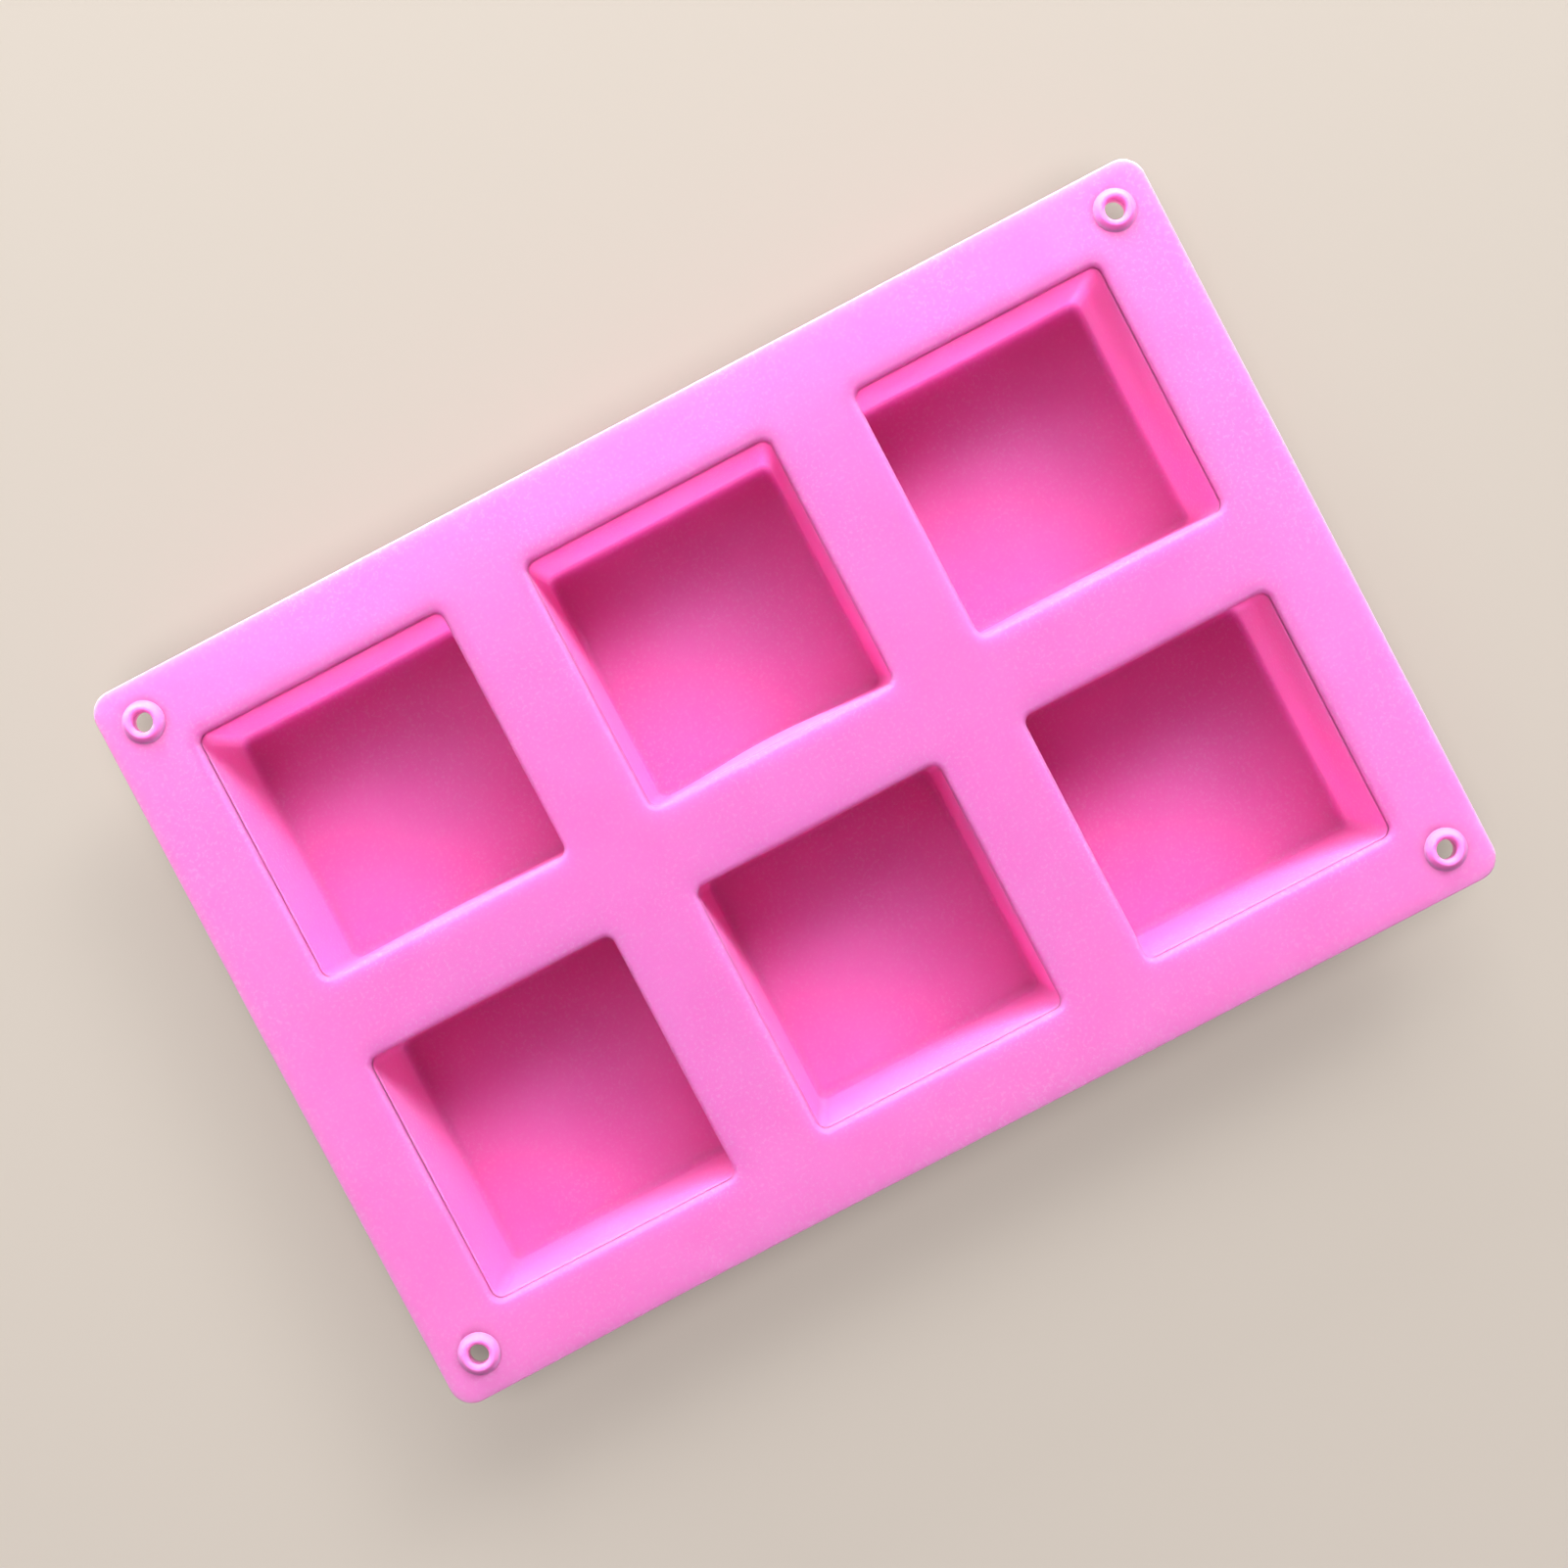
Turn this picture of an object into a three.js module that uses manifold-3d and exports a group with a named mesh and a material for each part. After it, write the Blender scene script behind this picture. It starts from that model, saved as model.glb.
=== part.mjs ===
// A silicone tray mould for six square bars of soap, in millimetres, +Z up.
// The origin is under the middle of the tray, on the surface that the cups stand on.
// +X runs along the tray and +Y towards its rear edge.
//
// The tray is one soft moulding. It is divided here where its features meet:
//   - the deck, a thin flat plate with six rounded mouths and four small holes;
//   - six cups that hang under the deck, one below each mouth;
//   - four raised rings, the eyelets, round the small holes.
// The regions share their meeting planes and never overlap.

import * as THREE from "three";
import { mergeVertices } from "three/addons/utils/BufferGeometryUtils.js";
import Module from "manifold-3d";

// Deck
const DECK_LENGTH = 245;
const DECK_WIDTH = 167;
const DECK_THICKNESS = 2;
const DECK_CORNER_RADIUS = 5;
const DECK_TOP_EDGE_RADIUS = 0.5;
const DECK_BOTTOM_EDGE_RADIUS = 0.4;

// Cavities, measured between the walls just under the rounded lip
const COLUMNS = ["left", "centre", "right"];
const ROWS = ["front", "rear"];
const PITCH_X = 76.8;
const PITCH_Y = 75.9;
const MOUTH_SIDE = 57;
const WALL_CORNER_RADIUS = 2.1; // where wall meets wall, seen from above
const LIP_RADIUS = 1.2;
const CAVITY_DEPTH = 28;
const WALL_TAPER = 1; // how far each wall leans in over the whole depth
const FLOOR_FILLET = 1.8; // where wall meets floor

// Cup shell
const WALL_THICKNESS = 1.8;
const FLOOR_THICKNESS = 2;
const FOOT_RADIUS = 2.2; // rounding round the underside of each cup
const ROOT_FILLET = 1; // where the cup's outside meets the deck

// Corner eyelets
const EYELET_OUTER_RADIUS = 4.55;
const EYELET_HOLE_RADIUS = 2.15;
const EYELET_CREST_RADIUS = 3.1;
const EYELET_HEIGHT = 1.3;
const EYELET_EDGE_HEIGHT = 0.2; // where the ring's outer slope starts, above the deck
const EYELET_BORE_HEIGHT = 0.4; // where the hole's straight wall ends, above the deck
const EYELET_INSET = 9.2; // from each edge of the deck to the ring's centre

// How finely round stretches are divided
const CORNER_STEPS = 6; // even, in each right-angled corner of an outline
const EDGE_STEPS = 4; // in each rounded edge
const RING_SEGMENTS = 24;
const SLOPE_STEPS = 5; // on each side of a ring's crest

// Heights
const DECK_TOP = FLOOR_THICKNESS + CAVITY_DEPTH;
const DECK_UNDERSIDE = DECK_TOP - DECK_THICKNESS;
const LIP_START = DECK_TOP - LIP_RADIUS;
const CUT_MARGIN = 1; // how far a cutter runs past the face it opens

const SILICONE = { color: 0xf77fd6, roughness: 0.42, metalness: 0 };

const manifold = await Module();
manifold.setup();

// ---------- solids ----------

function toSolid(geometry) {
  const bare = geometry.clone();
  bare.deleteAttribute("normal");
  bare.deleteAttribute("uv");
  const merged = mergeVertices(bare, 1e-4);
  const mesh = new manifold.Mesh({
    numProp: 3,
    vertProperties: merged.attributes.position.array,
    triVerts: new Uint32Array(merged.index.array),
  });
  return new manifold.Manifold(mesh);
}

function toGeometry(solid) {
  const { vertProperties, triVerts } = solid.getMesh();
  const geometry = new THREE.BufferGeometry();
  geometry.setAttribute("position", new THREE.BufferAttribute(vertProperties, 3));
  geometry.setIndex(new THREE.BufferAttribute(triVerts, 1));
  return geometry;
}

// ---------- outlines that change with height ----------

// A square with rounded corners: arcs of radius 1 round centres at (±1, ±1).
function unitOutline() {
  const shape = new THREE.Shape();
  shape.absarc(1, 1, 1, 0, Math.PI / 2);
  shape.absarc(-1, 1, 1, Math.PI / 2, Math.PI);
  shape.absarc(-1, -1, 1, Math.PI, Math.PI * 1.5);
  shape.absarc(1, -1, 1, Math.PI * 1.5, Math.PI * 2);
  shape.closePath();
  return shape;
}

// An upright prism whose rounded rectangle is set anew at each level, from the bottom up.
// A level is { z, halfX, halfY, radius }.
function levelledPrism(levels) {
  const geometry = new THREE.ExtrudeGeometry(unitOutline(), {
    depth: levels.length - 1,
    steps: levels.length - 1,
    curveSegments: CORNER_STEPS / 2,
    bevelEnabled: false,
  });
  const position = geometry.attributes.position;
  for (let i = 0; i < position.count; i += 1) {
    const level = levels[Math.round(position.getZ(i))];
    const sideX = Math.sign(position.getX(i));
    const sideY = Math.sign(position.getY(i));
    const outwardX = position.getX(i) - sideX;
    const outwardY = position.getY(i) - sideY;
    position.setXYZ(
      i,
      sideX * (level.halfX - level.radius) + outwardX * level.radius,
      sideY * (level.halfY - level.radius) + outwardY * level.radius,
      level.z,
    );
  }
  return geometry;
}

// Points on a quarter circle of radius 1, as how far in from the side and how far down from the top.
// They run from the top face (in = 1, down = 0) to the side face (in = 0, down = 1).
function quarterRound(steps) {
  return Array.from({ length: steps + 1 }, (_, k) => {
    const angle = (k / steps) * (Math.PI / 2);
    return { in: 1 - Math.sin(angle), down: 1 - Math.cos(angle) };
  });
}

// ---------- cavity ----------

// How far the cavity wall leans in from its place under the lip, at height z.
function wallLean(z) {
  return (WALL_TAPER * (LIP_START - z)) / (LIP_START - FLOOR_THICKNESS);
}

function wallHalf(z) {
  return MOUTH_SIDE / 2 - wallLean(z);
}

function squareLevel(z, half, radius) {
  return { z, halfX: half, halfY: half, radius };
}

function wallLevel(z, inset = 0) {
  return squareLevel(z, wallHalf(z) - inset, WALL_CORNER_RADIUS - inset);
}

// The space inside one cup, from its floor to just above the deck's underside.
function cavityGeometry() {
  const fillet = quarterRound(EDGE_STEPS)
    .map(({ in: inset, down }) => {
      const z = FLOOR_THICKNESS + down * FLOOR_FILLET;
      return wallLevel(z, inset * FLOOR_FILLET);
    });
  return levelledPrism([...fillet, wallLevel(DECK_UNDERSIDE + CUT_MARGIN)]);
}

// The space through the deck above one cup: the straight wall, then the lip opening out.
function mouthGeometry() {
  const lip = quarterRound(EDGE_STEPS)
    .reverse()
    .map(({ in: inset, down }) => {
      const spread = inset * LIP_RADIUS;
      const half = MOUTH_SIDE / 2 + spread;
      return squareLevel(DECK_TOP - down * LIP_RADIUS, half, WALL_CORNER_RADIUS + spread);
    });
  const top = lip.at(-1);
  return levelledPrism([
    wallLevel(DECK_UNDERSIDE - CUT_MARGIN),
    ...lip,
    { ...top, z: DECK_TOP + CUT_MARGIN },
  ]);
}

// The outside of one cup, from its rounded foot to the fillet that flares out under the deck.
function cupOutsideGeometry() {
  const foot = quarterRound(EDGE_STEPS)
    .map(({ in: inset, down }) => wallLevel(down * FOOT_RADIUS, inset * FOOT_RADIUS - WALL_THICKNESS));
  const root = quarterRound(EDGE_STEPS)
    .reverse()
    .map(({ in: spread, down }) => {
      const z = DECK_UNDERSIDE - down * ROOT_FILLET;
      return wallLevel(z, -WALL_THICKNESS - spread * ROOT_FILLET);
    });
  return levelledPrism([...foot, ...root]);
}

function cupGeometry() {
  return toGeometry(toSolid(cupOutsideGeometry()).subtract(toSolid(cavityGeometry())));
}

// ---------- deck ----------

function deckLevel(z, inset) {
  return {
    z,
    halfX: DECK_LENGTH / 2 - inset,
    halfY: DECK_WIDTH / 2 - inset,
    radius: DECK_CORNER_RADIUS - inset,
  };
}

function deckPlateGeometry() {
  const bottomEdge = quarterRound(EDGE_STEPS)
    .map(({ in: inset, down }) => {
      const z = DECK_UNDERSIDE + down * DECK_BOTTOM_EDGE_RADIUS;
      return deckLevel(z, inset * DECK_BOTTOM_EDGE_RADIUS);
    });
  const topEdge = quarterRound(EDGE_STEPS)
    .reverse()
    .map(({ in: inset, down }) => {
      const z = DECK_TOP - down * DECK_TOP_EDGE_RADIUS;
      return deckLevel(z, inset * DECK_TOP_EDGE_RADIUS);
    });
  return levelledPrism([...bottomEdge, ...topEdge]);
}

function holeGeometry() {
  const height = DECK_THICKNESS + 2 * CUT_MARGIN;
  const radius = EYELET_HOLE_RADIUS;
  return new THREE.CylinderGeometry(radius, radius, height, RING_SEGMENTS)
    .rotateX(Math.PI / 2)
    .translate(0, 0, (DECK_TOP + DECK_UNDERSIDE) / 2);
}

function deckGeometry(cavityPlaces, eyeletPlaces) {
  const mouth = toSolid(mouthGeometry());
  const hole = toSolid(holeGeometry());
  const cuts = [
    ...cavityPlaces.map(({ x, y }) => mouth.translate(x, y, 0)),
    ...eyeletPlaces.map(({ x, y }) => hole.translate(x, y, 0)),
  ];
  const plate = toSolid(deckPlateGeometry());
  return toGeometry(cuts.reduce((solid, cut) => solid.subtract(cut), plate));
}

// ---------- eyelet ----------

// A ring that slopes up gently from the deck, turned about its hole, and rounds over into the hole.
function eyeletGeometry() {
  const profile = [new THREE.Vector2(EYELET_OUTER_RADIUS, 0)];
  for (let k = 0; k <= SLOPE_STEPS; k += 1) {
    const share = k / SLOPE_STEPS;
    const rise = (1 - Math.cos(Math.PI * share)) / 2;
    const radius = EYELET_OUTER_RADIUS + (EYELET_CREST_RADIUS - EYELET_OUTER_RADIUS) * share;
    const height = EYELET_EDGE_HEIGHT + (EYELET_HEIGHT - EYELET_EDGE_HEIGHT) * rise;
    profile.push(new THREE.Vector2(radius, height));
  }
  for (let k = 1; k <= SLOPE_STEPS; k += 1) {
    const angle = (k / SLOPE_STEPS) * (Math.PI / 2);
    const radius = EYELET_CREST_RADIUS + (EYELET_HOLE_RADIUS - EYELET_CREST_RADIUS) * Math.sin(angle);
    const height = EYELET_BORE_HEIGHT + (EYELET_HEIGHT - EYELET_BORE_HEIGHT) * Math.cos(angle);
    profile.push(new THREE.Vector2(radius, height));
  }
  profile.push(new THREE.Vector2(EYELET_HOLE_RADIUS, 0));
  profile.push(profile[0].clone());
  return new THREE.LatheGeometry(profile, RING_SEGMENTS).rotateX(Math.PI / 2);
}

// ---------- assembly ----------

const cavityPlaces = ROWS.flatMap((row, r) =>
  COLUMNS.map((column, c) => ({
    name: `cavity_cup_${row}_${column}`,
    x: (c - (COLUMNS.length - 1) / 2) * PITCH_X,
    y: (r - (ROWS.length - 1) / 2) * PITCH_Y,
  })),
);

const eyeletPlaces = ["front", "rear"].flatMap((row, r) =>
  ["left", "right"].map((column, c) => ({
    name: `corner_eyelet_${row}_${column}`,
    x: (2 * c - 1) * (DECK_LENGTH / 2 - EYELET_INSET),
    y: (2 * r - 1) * (DECK_WIDTH / 2 - EYELET_INSET),
  })),
);

function part(name, geometry, x = 0, y = 0, z = 0) {
  geometry.computeVertexNormals();
  const mesh = new THREE.Mesh(geometry, new THREE.MeshStandardMaterial(SILICONE));
  mesh.name = name;
  mesh.position.set(x, y, z);
  return mesh;
}

const soapMould = new THREE.Group();
soapMould.name = "six_cavity_soap_mould";
soapMould.add(part("top_deck", deckGeometry(cavityPlaces, eyeletPlaces)));
for (const { name, x, y } of cavityPlaces) {
  soapMould.add(part(name, cupGeometry(), x, y));
}
for (const { name, x, y } of eyeletPlaces) {
  soapMould.add(part(name, eyeletGeometry(), x, y, DECK_TOP));
}

export default soapMould;
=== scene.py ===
"""A six-cavity silicone soap mould: fine surfaces, rubber material, studio and camera round its CAD frame.

Everything is in metres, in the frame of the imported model: +X along the tray, +Y to its rear, +Z up,
with the origin under the middle of the tray on the surface that the cups stand on.
"""

import math

import bpy
import numpy as np
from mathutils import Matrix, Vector, geometry


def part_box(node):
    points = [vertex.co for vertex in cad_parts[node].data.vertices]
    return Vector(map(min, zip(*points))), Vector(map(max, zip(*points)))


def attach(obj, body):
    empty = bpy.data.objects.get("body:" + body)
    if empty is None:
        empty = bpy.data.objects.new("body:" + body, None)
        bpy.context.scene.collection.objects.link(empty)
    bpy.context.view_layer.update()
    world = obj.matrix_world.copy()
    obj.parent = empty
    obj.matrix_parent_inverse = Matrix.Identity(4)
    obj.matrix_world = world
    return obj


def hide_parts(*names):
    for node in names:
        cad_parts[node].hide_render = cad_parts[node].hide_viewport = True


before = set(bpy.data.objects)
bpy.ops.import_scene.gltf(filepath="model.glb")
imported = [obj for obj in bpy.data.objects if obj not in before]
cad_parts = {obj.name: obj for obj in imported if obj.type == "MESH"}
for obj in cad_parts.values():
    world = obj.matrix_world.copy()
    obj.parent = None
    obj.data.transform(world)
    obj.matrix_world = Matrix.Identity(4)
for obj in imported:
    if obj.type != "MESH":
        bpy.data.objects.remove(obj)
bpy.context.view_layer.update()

MM = 0.001

# ---------- sizes that the frame's boxes don't give ----------

WALL_THICKNESS = 1.8 * MM
FLOOR_THICKNESS = 2 * MM
MOUTH_SIDE = 57 * MM
WALL_CORNER_RADIUS = 2.1 * MM  # where wall meets wall, seen from above
LIP_RADIUS = 1.2 * MM
WALL_TAPER = 1 * MM  # how far each wall leans in over the cavity's depth
FLOOR_FILLET = 1.8 * MM  # where wall meets floor
FOOT_RADIUS = 2.2 * MM  # rounding round the underside of each cup
ROOT_FILLET = 1 * MM  # where the cup's outside meets the deck
DECK_CORNER_RADIUS = 5 * MM
DECK_TOP_EDGE_RADIUS = 0.5 * MM
DECK_BOTTOM_EDGE_RADIUS = 0.4 * MM
EYELET_HOLE_RADIUS = 2.15 * MM
EYELET_CREST_RADIUS = 3.1 * MM
EYELET_EDGE_HEIGHT = 0.2 * MM  # where the ring's outer slope starts, above the deck
EYELET_BORE_HEIGHT = 0.4 * MM  # where the hole's straight wall ends, above the deck

# ---------- how the soft rubber sits out of true ----------

RIM_DROOP = 0.4 * MM
FRONT_EDGE_PULL = 0.5 * MM
FRONT_PULL_CENTRE = -60 * MM  # the x at which the front edge pulls in most
REAR_EDGE_PULL = 0.1 * MM
LEFT_CORNER_PULL = 0.1 * MM
RIGHT_CORNER_PULL = 0.05 * MM

# How far each cup's walls bow inwards halfway down: front, rear, left, right
WALL_BOWS = {
    "cavity_cup_front_left": (0.3 * MM, 0.2 * MM, 0.4 * MM, 0.2 * MM),
    "cavity_cup_front_centre": (0.4 * MM, 0.3 * MM, 0.2 * MM, 0.3 * MM),
    "cavity_cup_front_right": (0.2 * MM, 0.3 * MM, 0.3 * MM, 0.5 * MM),
    "cavity_cup_rear_left": (0.3 * MM, 0.4 * MM, 0.3 * MM, 0.2 * MM),
    "cavity_cup_rear_centre": (1.5 * MM, 0.4 * MM, 0.2 * MM, 0.3 * MM),
    "cavity_cup_rear_right": (0.3 * MM, 0.5 * MM, 0.2 * MM, 0.6 * MM),
}

# ---------- how finely the surfaces are divided ----------

CORNER_STEPS = 10
SIDE_STEPS = 24
DECK_SIDE_STEPS = 60
WALL_STEPS = 14
ROUND_STEPS = 7
CAP_STEPS = 14
BORE_STEPS = 3
HOLE_SEGMENTS = 48
SLOPE_STEPS = 12
DECK_GRID = 3 * MM
GRID_CLEARANCE = 0.45 * DECK_GRID  # the least distance from a grid point to an outline
SAME_PLACE = 1e-7  # points closer than this count as one when a flat face is divided

# ---------- rubber ----------

RUBBER_COLOUR = (0.98, 0.16, 0.505)
RUBBER_SCATTER = 11.5 * MM  # how far light travels in the rubber between bounces
# The rings are the same rubber as the deck but get a paler colour: a painted highlight for the light that
# makes the raised rings look paler
RING_PAINTED_PALE_COLOUR = (0.98, 0.25, 0.66)
RING_SCATTER = 1.5 * MM
DEEP_SHARE = (0.97, 0.72, 0.86)  # how much of each channel is left where the rubber is clouded
DUST_COLOUR = (1.0, 0.62, 0.85)
REFRACTION = 1.41
SPECULAR_LEVEL = 0.12
ROUGHNESS = (0.40, 0.53)  # at the smoothest and at the most matt patches
CLOUD_AMOUNT = 0.24
DUST_AMOUNT = 0.10
DUST_LEFT = 0.4  # share of the dust that stays between its patches

# Noises: features per metre, and levels of detail
CLOUD_NOISE = (55, 3)
PATCH_NOISE = (30, 2)
SPECK_NOISE = (1400, 2)
GRAIN_NOISE = (2200, 3)
SWELL_NOISE = (70, 1)
FINE_NOISE_ROUGHNESS = 0.6  # of the specks and the grain

# The noise values between which each effect fades in
CLOUD_RANGE = (0.35, 0.7)
SPECK_RANGE = (0.5, 0.68)
DUST_RANGE = (0.35, 0.65)
ROUGHNESS_RANGE = (0.3, 0.7)

# Bumps: strength, and depth in metres
GRAIN_BUMP = (0.12, 0.05 * MM)
SWELL_BUMP = (0.35, 0.4 * MM)

# ---------- studio ----------

FLOOR_HALF_SIDE = 3.0
FLOOR_COLOUR = (0.17, 0.155, 0.135)
FLOOR_ROUGHNESS = 0.9
FLOOR_SPECULAR_LEVEL = 0.1
FLOOR_GLOW_COLOUR = (1.0, 0.88, 0.79)
FLOOR_GLOW = 0.42
GLOW_INSET = 10 * MM  # how far inside the deck's outline the glow begins
GLOW_WIDTH = 24 * MM  # how far from there it takes to reach its full strength
SKY_COLOUR = (1.0, 0.985, 0.97)
SKY_HEIGHTS = (0.15, 0.75)  # sines of the heights between which the sky goes from pale to its darkest
SKY_STRENGTHS = (0.42, 0.30)  # at those heights

# Soft lights: name, compass bearing from the rear and height in degrees, distance, width and height in
# metres, power in watts
LIGHTS = (
    ("window", 27.7, 40, 1.45, (1.2, 0.7), 22.3),
    ("window_low", 22, 30, 1.45, (0.8, 0.5), 5.6),
    ("window_side", 50, 35, 1.45, (0.5, 0.35), 9.4),
    ("window_far_side", 60, 28, 1.45, (0.5, 0.35), 5),
    ("rear_low", 0, 12, 1.2, (1.0, 0.5), 22),
    ("rear_high_left", 326, 57, 0.6, (0.5, 0.3), 0.8),
)

# A light at or under this height, in degrees, makes no highlights, as it would glare off the deck
GLARE_HEIGHT = 20

CAMERA_PLACE = (0.00273, 0.00842, 0.389)  # above the deck's top face
CAMERA_TURN = (-1.227, 0.109, -27.686)  # degrees about X, Y and Z
CAMERA_LENS = 43.15  # mm
CAMERA_SENSOR = 36  # mm
CAMERA_NEAR = 0.01

# ---------- places, from the frame ----------

CUPS = sorted(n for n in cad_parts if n.startswith("cavity_cup"))
EYELETS = sorted(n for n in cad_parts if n.startswith("corner_eyelet"))
deck_low, deck_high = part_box("top_deck")
DECK_TOP = deck_high.z
DECK_UNDERSIDE = deck_low.z
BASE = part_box(CUPS[0])[0].z
CAVITY_FLOOR = BASE + FLOOR_THICKNESS
LIP_START = DECK_TOP - LIP_RADIUS
RIM_START_X = max(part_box(cup)[1].x for cup in CUPS)
RIM_START_Y = max(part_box(cup)[1].y for cup in CUPS)


def centre_of(node):
    low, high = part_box(node)
    return (low + high) / 2


# ---------- outlines ----------

def rounded_rectangle(half_x, half_y, radius, side_steps=SIDE_STEPS, centre=(0, 0)):
    """Points anticlockwise round a rounded rectangle: as many for every size, so that rings join up."""
    points = []
    corners = ((1, 1), (-1, 1), (-1, -1), (1, -1))
    for turn, (side_x, side_y) in enumerate(corners):
        corner_x = centre[0] + side_x * (half_x - radius)
        corner_y = centre[1] + side_y * (half_y - radius)
        for k in range(CORNER_STEPS + 1):
            angle = (turn + k / CORNER_STEPS) * math.pi / 2
            points.append((corner_x + radius * math.cos(angle), corner_y + radius * math.sin(angle)))
        next_side_x, next_side_y = corners[(turn + 1) % 4]
        end_angle = (turn + 1) * math.pi / 2
        to_x = centre[0] + next_side_x * (half_x - radius) + radius * math.cos(end_angle)
        to_y = centre[1] + next_side_y * (half_y - radius) + radius * math.sin(end_angle)
        from_x, from_y = points[-1]
        for k in range(1, side_steps):
            share = k / side_steps
            points.append((from_x + (to_x - from_x) * share, from_y + (to_y - from_y) * share))
    return points


def circle(centre, radius):
    angles = (2 * math.pi * k / HOLE_SEGMENTS for k in range(HOLE_SEGMENTS))
    return [(centre[0] + radius * math.cos(a), centre[1] + radius * math.sin(a)) for a in angles]


def quarter_round():
    """A quarter circle of radius 1, from the top face to the side, as (in from the side, down)."""
    angles = [k / ROUND_STEPS * math.pi / 2 for k in range(ROUND_STEPS + 1)]
    return [(1 - math.sin(a), 1 - math.cos(a)) for a in angles]


# ---------- the cavity's shape: levels of (height, half side, corner radius) ----------

def wall_level(z, spread=0.0):
    """The cavity wall at height z, moved outwards by spread."""
    share = (LIP_START - z) / (LIP_START - CAVITY_FLOOR)
    return z, MOUTH_SIDE / 2 - WALL_TAPER * share + spread, WALL_CORNER_RADIUS + spread


def straight(top, bottom, spread=0.0):
    return [wall_level(top + (bottom - top) * k / WALL_STEPS, spread) for k in range(WALL_STEPS + 1)]


def lip_levels():
    """From the deck's top face round the lip to where the wall starts."""
    levels = []
    for inward, down in quarter_round():
        spread = inward * LIP_RADIUS
        levels.append((DECK_TOP - down * LIP_RADIUS, MOUTH_SIDE / 2 + spread, WALL_CORNER_RADIUS + spread))
    return levels


def inside_levels():
    """From the deck's underside down the wall and round its fillet to the cavity floor."""
    fillet = [
        wall_level(CAVITY_FLOOR + down * FLOOR_FILLET, -inward * FLOOR_FILLET)
        for inward, down in quarter_round()
    ]
    return straight(DECK_UNDERSIDE, CAVITY_FLOOR + FLOOR_FILLET) + fillet[::-1][1:]


def outside_levels():
    """From the fillet under the deck down the cup's outside and round its foot to the underside."""
    root = [
        wall_level(DECK_UNDERSIDE - down * ROOT_FILLET, WALL_THICKNESS + inward * ROOT_FILLET)
        for inward, down in quarter_round()
    ]
    foot = [
        wall_level(BASE + down * FOOT_RADIUS, WALL_THICKNESS - inward * FOOT_RADIUS)
        for inward, down in quarter_round()
    ]
    side = straight(DECK_UNDERSIDE - ROOT_FILLET, BASE + FOOT_RADIUS, WALL_THICKNESS)
    return root + side[1:-1] + foot[::-1]


# ---------- flex ----------

def rim_flex(x, y, z):
    """The overhanging rim droops, and its edges pull in a little, beyond the outer cups."""
    out_x = min(max(abs(x) - RIM_START_X, 0) / (deck_high.x - RIM_START_X), 1)
    out_y = min(max(abs(y) - RIM_START_Y, 0) / (deck_high.y - RIM_START_Y), 1)
    droop = RIM_DROOP * min(out_x ** 2 + out_y ** 2, 1)
    corner_share = math.sin(y / deck_high.y * math.pi / 2) ** 2
    if y < 0:
        reach = deck_high.x + math.copysign(FRONT_PULL_CENTRE, x - FRONT_PULL_CENTRE)
        middle_share = math.cos((x - FRONT_PULL_CENTRE) / reach * math.pi / 2) ** 2
        pull_y = FRONT_EDGE_PULL * out_y ** 2 * middle_share
    else:
        pull_y = REAR_EDGE_PULL * out_y ** 2 * math.cos(x / deck_high.x * math.pi / 2) ** 2
    pull_x = (LEFT_CORNER_PULL if x < 0 else RIGHT_CORNER_PULL) * out_x ** 2 * corner_share
    return x - math.copysign(pull_x, x), y - math.copysign(pull_y, y), z - droop


def wall_flex(cup):
    """A function that bows the walls of one cup inwards halfway down and leaves its corners in place."""
    centre = centre_of(cup)
    front, rear, left, right = WALL_BOWS[cup]
    half = MOUTH_SIDE / 2

    def bowed(x, y, z):
        u, v = (x - centre.x) / half, (y - centre.y) / half
        height = min(max((z - BASE) / (DECK_UNDERSIDE - BASE), 0), 1)
        depth = math.sin(math.pi * height)
        across_x = math.cos(math.pi / 2 * min(abs(u), 1)) ** 2
        across_y = math.cos(math.pi / 2 * min(abs(v), 1)) ** 2
        push_y = (front if v < 0 else -rear) * min(v ** 4, 1) * across_x
        push_x = (left if u < 0 else -right) * min(u ** 4, 1) * across_y
        return x + push_x * depth, y + push_y * depth, z

    return bowed


# ---------- mesh ----------

def inside(loop, place):
    """Whether a point is inside a closed loop of points."""
    x, y = loop.T
    next_x, next_y = np.roll(x, -1), np.roll(y, -1)
    spans = (y > place[1]) != (next_y > place[1])
    rise = np.where(spans, next_y - y, 1)
    crossing = x + (next_x - x) * (place[1] - y) / rise
    return np.count_nonzero(spans & (place[0] < crossing)) % 2 == 1


def on_sheet(loops, place):
    """Whether a point is inside the first loop and outside all the others."""
    return inside(loops[0], place) and not any(inside(hole, place) for hole in loops[1:])


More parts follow.
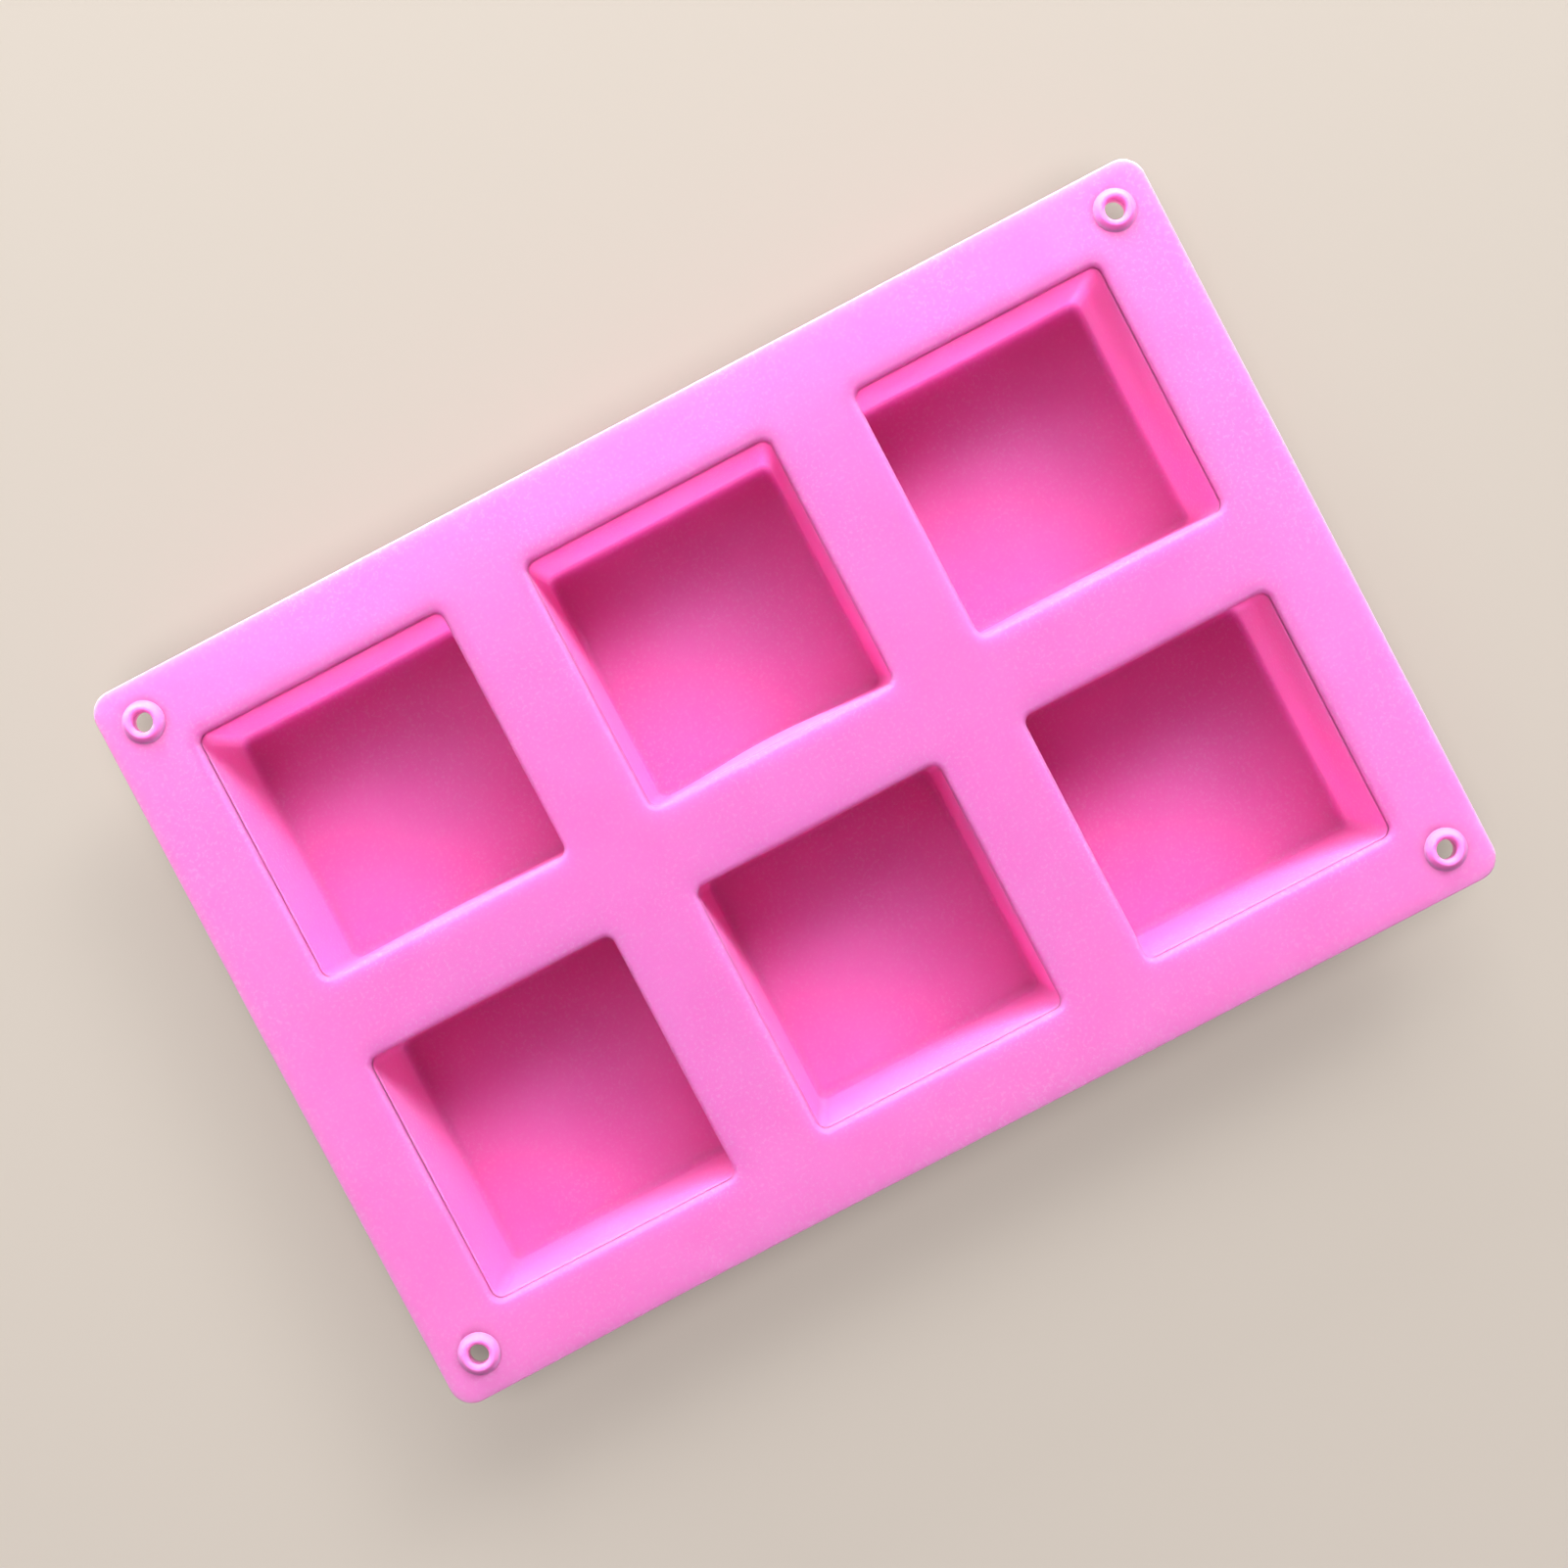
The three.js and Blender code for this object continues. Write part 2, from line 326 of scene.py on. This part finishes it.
class Skin:
    """A closed surface made of rings of points, bands between rings, and flat faces."""

    def __init__(self):
        self.points = []
        self.faces = []

    def ring(self, outline, z):
        """Adds the points of an outline at one height and returns their numbers."""
        start = len(self.points)
        self.points += [(x, y, z) for x, y in outline]
        return list(range(start, len(self.points)))

    def square_rings(self, levels, centre):
        """Rounded square rings, one for each level of (height, half side, corner radius)."""
        rings = []
        for z, half, radius in levels:
            outline = rounded_rectangle(half, half, radius, centre=centre)
            rings.append(self.ring(outline, z))
        return rings

    def band(self, low, high):
        """Faces between two rings. They face outwards if high is above low, and inwards if it is below."""
        for i, low_here in enumerate(low):
            after = (i + 1) % len(low)
            self.faces.append((low_here, low[after], high[after], high[i]))

    def bands(self, rings, facing_in=False):
        """Bands between rings that go from the top down."""
        for above, below in zip(rings, rings[1:]):
            if facing_in:
                self.band(above, below)
            else:
                self.band(below, above)

    def cap(self, ring, centre, facing_up):
        """A flat face inside a ring, as rings that shrink to its middle."""
        rim = [self.points[i] for i in ring]
        z = rim[0][2]
        last = ring
        for k in range(1, CAP_STEPS):
            share = 1 - k / CAP_STEPS
            outline = [
                (centre[0] + (x - centre[0]) * share, centre[1] + (y - centre[1]) * share)
                for x, y, _ in rim
            ]
            inner = self.ring(outline, z)
            if facing_up:
                self.band(last, inner)
            else:
                self.band(inner, last)
            last = inner
        middle = len(self.points)
        self.points.append((centre[0], centre[1], z))
        for i, here in enumerate(last):
            after = last[(i + 1) % len(last)]
            self.faces.append((here, after, middle) if facing_up else (after, here, middle))

    def sheet(self, outer, holes, facing_up):
        """A flat face from an outer ring to the rings of its holes, with a grid of points inside it."""
        rings = [outer, *holes]
        loops = [np.array([self.points[i][:2] for i in ring]) for ring in rings]
        z = self.points[outer[0]][2]
        every = np.concatenate(loops)
        edges = []
        for loop in loops:
            first = len(edges)
            edges += [(first + k, first + (k + 1) % len(loop)) for k in range(len(loop))]
        low, high = every.min(0), every.max(0)
        columns, rows = ((high - low) / DECK_GRID).astype(int)
        inner = []
        for column in range(1, columns):
            for row in range(1, rows):
                stagger = 0.5 * (row % 2)
                place = low + (high - low) * ((column + stagger) / columns, row / rows)
                clear = np.hypot(*(every - place).T).min() > GRID_CLEARANCE
                if clear and on_sheet(loops, place):
                    inner.append(tuple(place))
        index = [i for ring in rings for i in ring] + self.ring(inner, z)
        flat = [Vector(p) for p in (*map(tuple, every), *inner)]
        made, _, faces, made_from, _, _ = geometry.delaunay_2d_cdt(flat, edges, [], 0, SAME_PLACE)
        for face in faces:
            a, b, c = (made[i] for i in face)
            if not on_sheet(loops, (a + b + c) / 3):
                continue
            ids = [index[made_from[i][0]] for i in face]
            anticlockwise = (b - a).cross(c - a) > 0
            self.faces.append(tuple(ids if anticlockwise == facing_up else reversed(ids)))

    def build(self, name, flex):
        """A smooth-shaded object, with every point moved by the flex function."""
        mesh = bpy.data.meshes.new(name)
        mesh.from_pydata([flex(*point) for point in self.points], [], self.faces)
        mesh.polygons.foreach_set("use_smooth", [True] * len(mesh.polygons))
        mesh.update()
        piece = bpy.data.objects.new(name, mesh)
        bpy.context.scene.collection.objects.link(piece)
        return piece


# ---------- pieces ----------

def deck_ring(skin, z, inset):
    half_x = (deck_high.x - deck_low.x) / 2 - inset
    half_y = (deck_high.y - deck_low.y) / 2 - inset
    outline = rounded_rectangle(half_x, half_y, DECK_CORNER_RADIUS - inset, DECK_SIDE_STEPS)
    return skin.ring(outline, z)


def build_deck():
    """The deck: its rounded edge, its faces, the lips and short walls of its mouths, and its small holes."""
    skin = Skin()
    top_edge = [
        (DECK_TOP - down * DECK_TOP_EDGE_RADIUS, inward * DECK_TOP_EDGE_RADIUS)
        for inward, down in quarter_round()
    ]
    bottom_edge = [
        (DECK_UNDERSIDE + down * DECK_BOTTOM_EDGE_RADIUS, inward * DECK_BOTTOM_EDGE_RADIUS)
        for inward, down in quarter_round()
    ]
    edge = [deck_ring(skin, z, inset) for z, inset in top_edge + bottom_edge[::-1]]
    skin.bands(edge)
    holes = []
    for cup in CUPS:
        holes.append(skin.square_rings(lip_levels() + [wall_level(DECK_UNDERSIDE)], centre_of(cup)))
    for eyelet in EYELETS:
        outline = circle(centre_of(eyelet), EYELET_HOLE_RADIUS)
        heights = np.linspace(DECK_TOP, DECK_UNDERSIDE, BORE_STEPS + 1)
        holes.append([skin.ring(outline, z) for z in heights])
    for hole in holes:
        skin.bands(hole, facing_in=True)
    skin.sheet(edge[0], [hole[0] for hole in holes], facing_up=True)
    skin.sheet(edge[-1], [hole[-1] for hole in holes], facing_up=False)
    return skin.build("deck", rim_flex)


def build_cup(cup):
    """A cup: its inside and outside walls, its floor and underside, and the flat rim that meets the deck."""
    skin = Skin()
    centre = centre_of(cup)
    inner = skin.square_rings(inside_levels(), centre)
    outer = skin.square_rings(outside_levels(), centre)
    skin.band(outer[0], inner[0])
    skin.bands(inner, facing_in=True)
    skin.cap(inner[-1], centre, facing_up=True)
    skin.bands(outer)
    skin.cap(outer[-1], centre, facing_up=False)
    return skin.build(cup.replace("cavity_cup", "cup"), wall_flex(cup))


def build_eyelet(node):
    """A ring that slopes up gently from the deck to a crest and rounds over into its hole."""
    low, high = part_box(node)
    outer = (high.x - low.x) / 2
    height = high.z - low.z
    profile = [(outer, 0)]
    for k in range(SLOPE_STEPS + 1):
        share = k / SLOPE_STEPS
        rise = (1 - math.cos(math.pi * share)) / 2
        radius = outer + (EYELET_CREST_RADIUS - outer) * share
        profile.append((radius, EYELET_EDGE_HEIGHT + (height - EYELET_EDGE_HEIGHT) * rise))
    for k in range(1, SLOPE_STEPS + 1):
        angle = k / SLOPE_STEPS * math.pi / 2
        radius = EYELET_CREST_RADIUS + (EYELET_HOLE_RADIUS - EYELET_CREST_RADIUS) * math.sin(angle)
        profile.append((radius, EYELET_BORE_HEIGHT + (height - EYELET_BORE_HEIGHT) * math.cos(angle)))
    profile.append((EYELET_HOLE_RADIUS, 0))
    skin = Skin()
    rings = [skin.ring(circle(centre_of(node), radius), low.z + z) for radius, z in profile]
    for ring, after in zip(rings, rings[1:] + rings[:1]):
        skin.band(ring, after)
    return skin.build(node.replace("corner_eyelet", "eyelet_ring"), rim_flex)


# ---------- material ----------

def add_noise(tree, coordinates, scale, detail, roughness=0.5):
    """The value of a noise texture. The scale is in features per metre."""
    noise = tree.nodes.new("ShaderNodeTexNoise")
    noise.inputs["Scale"].default_value = scale
    noise.inputs["Detail"].default_value = detail
    noise.inputs["Roughness"].default_value = roughness
    tree.links.new(coordinates, noise.inputs["Vector"])
    return noise.outputs["Fac"]


def add_ramp(tree, value, low, high, at_low, at_high):
    """A smooth step from at_low to at_high as the value goes from low to high."""
    ramp = tree.nodes.new("ShaderNodeMapRange")
    ramp.interpolation_type = "SMOOTHSTEP"
    ramp.inputs["From Min"].default_value = low
    ramp.inputs["From Max"].default_value = high
    ramp.inputs["To Min"].default_value = at_low
    ramp.inputs["To Max"].default_value = at_high
    tree.links.new(value, ramp.inputs["Value"])
    return ramp.outputs["Result"]


def add_maths(tree, operation, first, second=None):
    """The result of an operation on one or two values. The second may be a plain number."""
    maths = tree.nodes.new("ShaderNodeMath")
    maths.operation = operation
    tree.links.new(first, maths.inputs[0])
    if isinstance(second, float):
        maths.inputs[1].default_value = second
    elif second:
        tree.links.new(second, maths.inputs[1])
    return maths.outputs["Value"]


def add_tint(tree, factor, under, colour):
    """A colour mixed over what is under it, by a factor from a texture."""
    mix = tree.nodes.new("ShaderNodeMix")
    mix.data_type = "RGBA"
    tree.links.new(factor, mix.inputs["Factor"])
    if isinstance(under, tuple):
        mix.inputs["A"].default_value = (*under, 1)
    else:
        tree.links.new(under, mix.inputs["A"])
    mix.inputs["B"].default_value = (*colour, 1)
    return mix.outputs["Result"]


def add_bump(tree, height, strength, distance, over=None):
    """A normal bent by a height, on top of another bump if there is one."""
    bump = tree.nodes.new("ShaderNodeBump")
    bump.inputs["Strength"].default_value = strength
    bump.inputs["Distance"].default_value = distance
    tree.links.new(height, bump.inputs["Height"])
    if over:
        tree.links.new(over, bump.inputs["Normal"])
    return bump.outputs["Normal"]


def silicone(name, colour, scatter):
    """Pink translucent rubber: faint clouding, a matt moulded grain, a slow swell and a little pale dust."""
    material = bpy.data.materials.new(name)
    material.use_nodes = True
    tree = material.node_tree
    shader = tree.nodes["Principled BSDF"]
    coordinates = tree.nodes.new("ShaderNodeTexCoord").outputs["Object"]
    clouds = add_noise(tree, coordinates, *CLOUD_NOISE)
    patches = add_noise(tree, coordinates, *PATCH_NOISE)
    specks = add_noise(tree, coordinates, *SPECK_NOISE, FINE_NOISE_ROUGHNESS)
    grain = add_noise(tree, coordinates, *GRAIN_NOISE, FINE_NOISE_ROUGHNESS)
    swell = add_noise(tree, coordinates, *SWELL_NOISE)

    deep = tuple(channel * share for channel, share in zip(colour, DEEP_SHARE))
    clouded = add_tint(tree, add_ramp(tree, clouds, *CLOUD_RANGE, 0, CLOUD_AMOUNT), colour, deep)
    speck_share = add_ramp(tree, specks, *SPECK_RANGE, 0, DUST_AMOUNT)
    dust = add_maths(tree, "MULTIPLY", speck_share, add_ramp(tree, patches, *DUST_RANGE, DUST_LEFT, 1))
    tree.links.new(add_tint(tree, dust, clouded, DUST_COLOUR), shader.inputs["Base Color"])
    matt = add_ramp(tree, patches, *ROUGHNESS_RANGE, *ROUGHNESS)
    tree.links.new(matt, shader.inputs["Roughness"])
    fine = add_bump(tree, grain, *GRAIN_BUMP)
    bumpy = add_bump(tree, swell, *SWELL_BUMP, fine)
    tree.links.new(bumpy, shader.inputs["Normal"])

    shader.inputs["IOR"].default_value = REFRACTION
    shader.inputs["Specular IOR Level"].default_value = SPECULAR_LEVEL
    shader.inputs["Subsurface Weight"].default_value = 1
    shader.inputs["Subsurface Radius"].default_value = (1, 1, 1)
    shader.inputs["Subsurface Scale"].default_value = scatter
    return material


def settle(piece, material, node):
    """Gives a piece its material and its body, and stands it in for its CAD node."""
    piece.data.materials.append(material)
    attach(piece, "root")
    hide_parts(node)


# ---------- studio ----------

def build_floor():
    """A plain pale floor that glows a little round the tray, so that the tray's shadow on it stays faint.

    Its lower side is clear, so that the tray's underside can be seen from below.
    """
    far = FLOOR_HALF_SIDE
    corners = [(-far, -far, BASE), (far, -far, BASE), (far, far, BASE), (-far, far, BASE)]
    mesh = bpy.data.meshes.new("floor")
    mesh.from_pydata(corners, [], [(0, 1, 2, 3)])
    material = bpy.data.materials.new("floor")
    material.use_nodes = True
    tree = material.node_tree
    shader = tree.nodes["Principled BSDF"]
    shader.inputs["Base Color"].default_value = (*FLOOR_COLOUR, 1)
    shader.inputs["Roughness"].default_value = FLOOR_ROUGHNESS
    shader.inputs["Specular IOR Level"].default_value = FLOOR_SPECULAR_LEVEL
    shader.inputs["Emission Color"].default_value = (*FLOOR_GLOW_COLOUR, 1)
    place = tree.nodes.new("ShaderNodeSeparateXYZ")
    tree.links.new(tree.nodes.new("ShaderNodeTexCoord").outputs["Object"], place.inputs["Vector"])
    squares = []
    for axis, half in (("X", deck_high.x), ("Y", deck_high.y)):
        from_middle = add_maths(tree, "ABSOLUTE", place.outputs[axis])
        beyond = add_maths(tree, "SUBTRACT", from_middle, half - GLOW_INSET)
        squares.append(add_maths(tree, "POWER", add_maths(tree, "MAXIMUM", beyond, 0.0), 2.0))
    distance = add_maths(tree, "SQRT", add_maths(tree, "ADD", *squares))
    glow = add_ramp(tree, distance, 0, GLOW_WIDTH, 0, FLOOR_GLOW)
    tree.links.new(glow, shader.inputs["Emission Strength"])
    clear = tree.nodes.new("ShaderNodeBsdfTransparent")
    side = tree.nodes.new("ShaderNodeMixShader")
    tree.links.new(tree.nodes.new("ShaderNodeNewGeometry").outputs["Backfacing"], side.inputs["Fac"])
    tree.links.new(shader.outputs["BSDF"], side.inputs[1])
    tree.links.new(clear.outputs["BSDF"], side.inputs[2])
    tree.links.new(side.outputs["Shader"], tree.nodes["Material Output"].inputs["Surface"])
    mesh.materials.append(material)
    floor = bpy.data.objects.new("floor", mesh)
    bpy.context.scene.collection.objects.link(floor)


def build_sky():
    """A sky that is a little paler at the horizon than overhead."""
    world = bpy.data.worlds.new("sky")
    bpy.context.scene.world = world
    world.use_nodes = True
    tree = world.node_tree
    background = tree.nodes["Background"]
    background.inputs["Color"].default_value = (*SKY_COLOUR, 1)
    direction = tree.nodes.new("ShaderNodeSeparateXYZ")
    tree.links.new(tree.nodes.new("ShaderNodeTexCoord").outputs["Generated"], direction.inputs["Vector"])
    strength = add_ramp(tree, direction.outputs["Z"], *SKY_HEIGHTS, *SKY_STRENGTHS)
    tree.links.new(strength, background.inputs["Strength"])


def add_light(name, bearing, height, distance, size, power):
    """A soft rectangular light that faces the tray."""
    turn, tilt = math.radians(bearing), math.radians(height)
    level = math.cos(tilt)
    place = Vector((math.sin(turn) * level, math.cos(turn) * level, math.sin(tilt))) * distance
    data = bpy.data.lights.new(name, "AREA")
    data.shape = "RECTANGLE"
    data.size, data.size_y = size
    data.energy = power
    light = bpy.data.objects.new(name, data)
    light.location = place
    light.rotation_euler = (-place).to_track_quat("-Z", "Y").to_euler()
    light.visible_glossy = height > GLARE_HEIGHT
    bpy.context.scene.collection.objects.link(light)


def add_camera():
    """A camera that looks almost straight down, turned so that the tray lies at an angle."""
    data = bpy.data.cameras.new("camera")
    data.lens = CAMERA_LENS
    data.sensor_width = CAMERA_SENSOR
    data.clip_start = CAMERA_NEAR
    camera = bpy.data.objects.new("camera", data)
    camera.location = Vector(CAMERA_PLACE) + Vector((0, 0, DECK_TOP))
    camera.rotation_euler = [math.radians(degrees) for degrees in CAMERA_TURN]
    bpy.context.scene.collection.objects.link(camera)
    bpy.context.scene.camera = camera


# ---------- assembly ----------

rubber = silicone("pink_silicone", RUBBER_COLOUR, RUBBER_SCATTER)
# A paler copy of the rubber for the rings: painted lightness in place of their highlights and scatter
ring_rubber_painted_pale = silicone("pink_silicone_ring_painted_pale", RING_PAINTED_PALE_COLOUR, RING_SCATTER)

settle(build_deck(), rubber, "top_deck")
for cup in CUPS:
    settle(build_cup(cup), rubber, cup)
for eyelet in EYELETS:
    settle(build_eyelet(eyelet), ring_rubber_painted_pale, eyelet)

build_floor()
build_sky()
for light in LIGHTS:
    add_light(*light)
add_camera()
bpy.context.scene.view_settings.view_transform = "Standard"
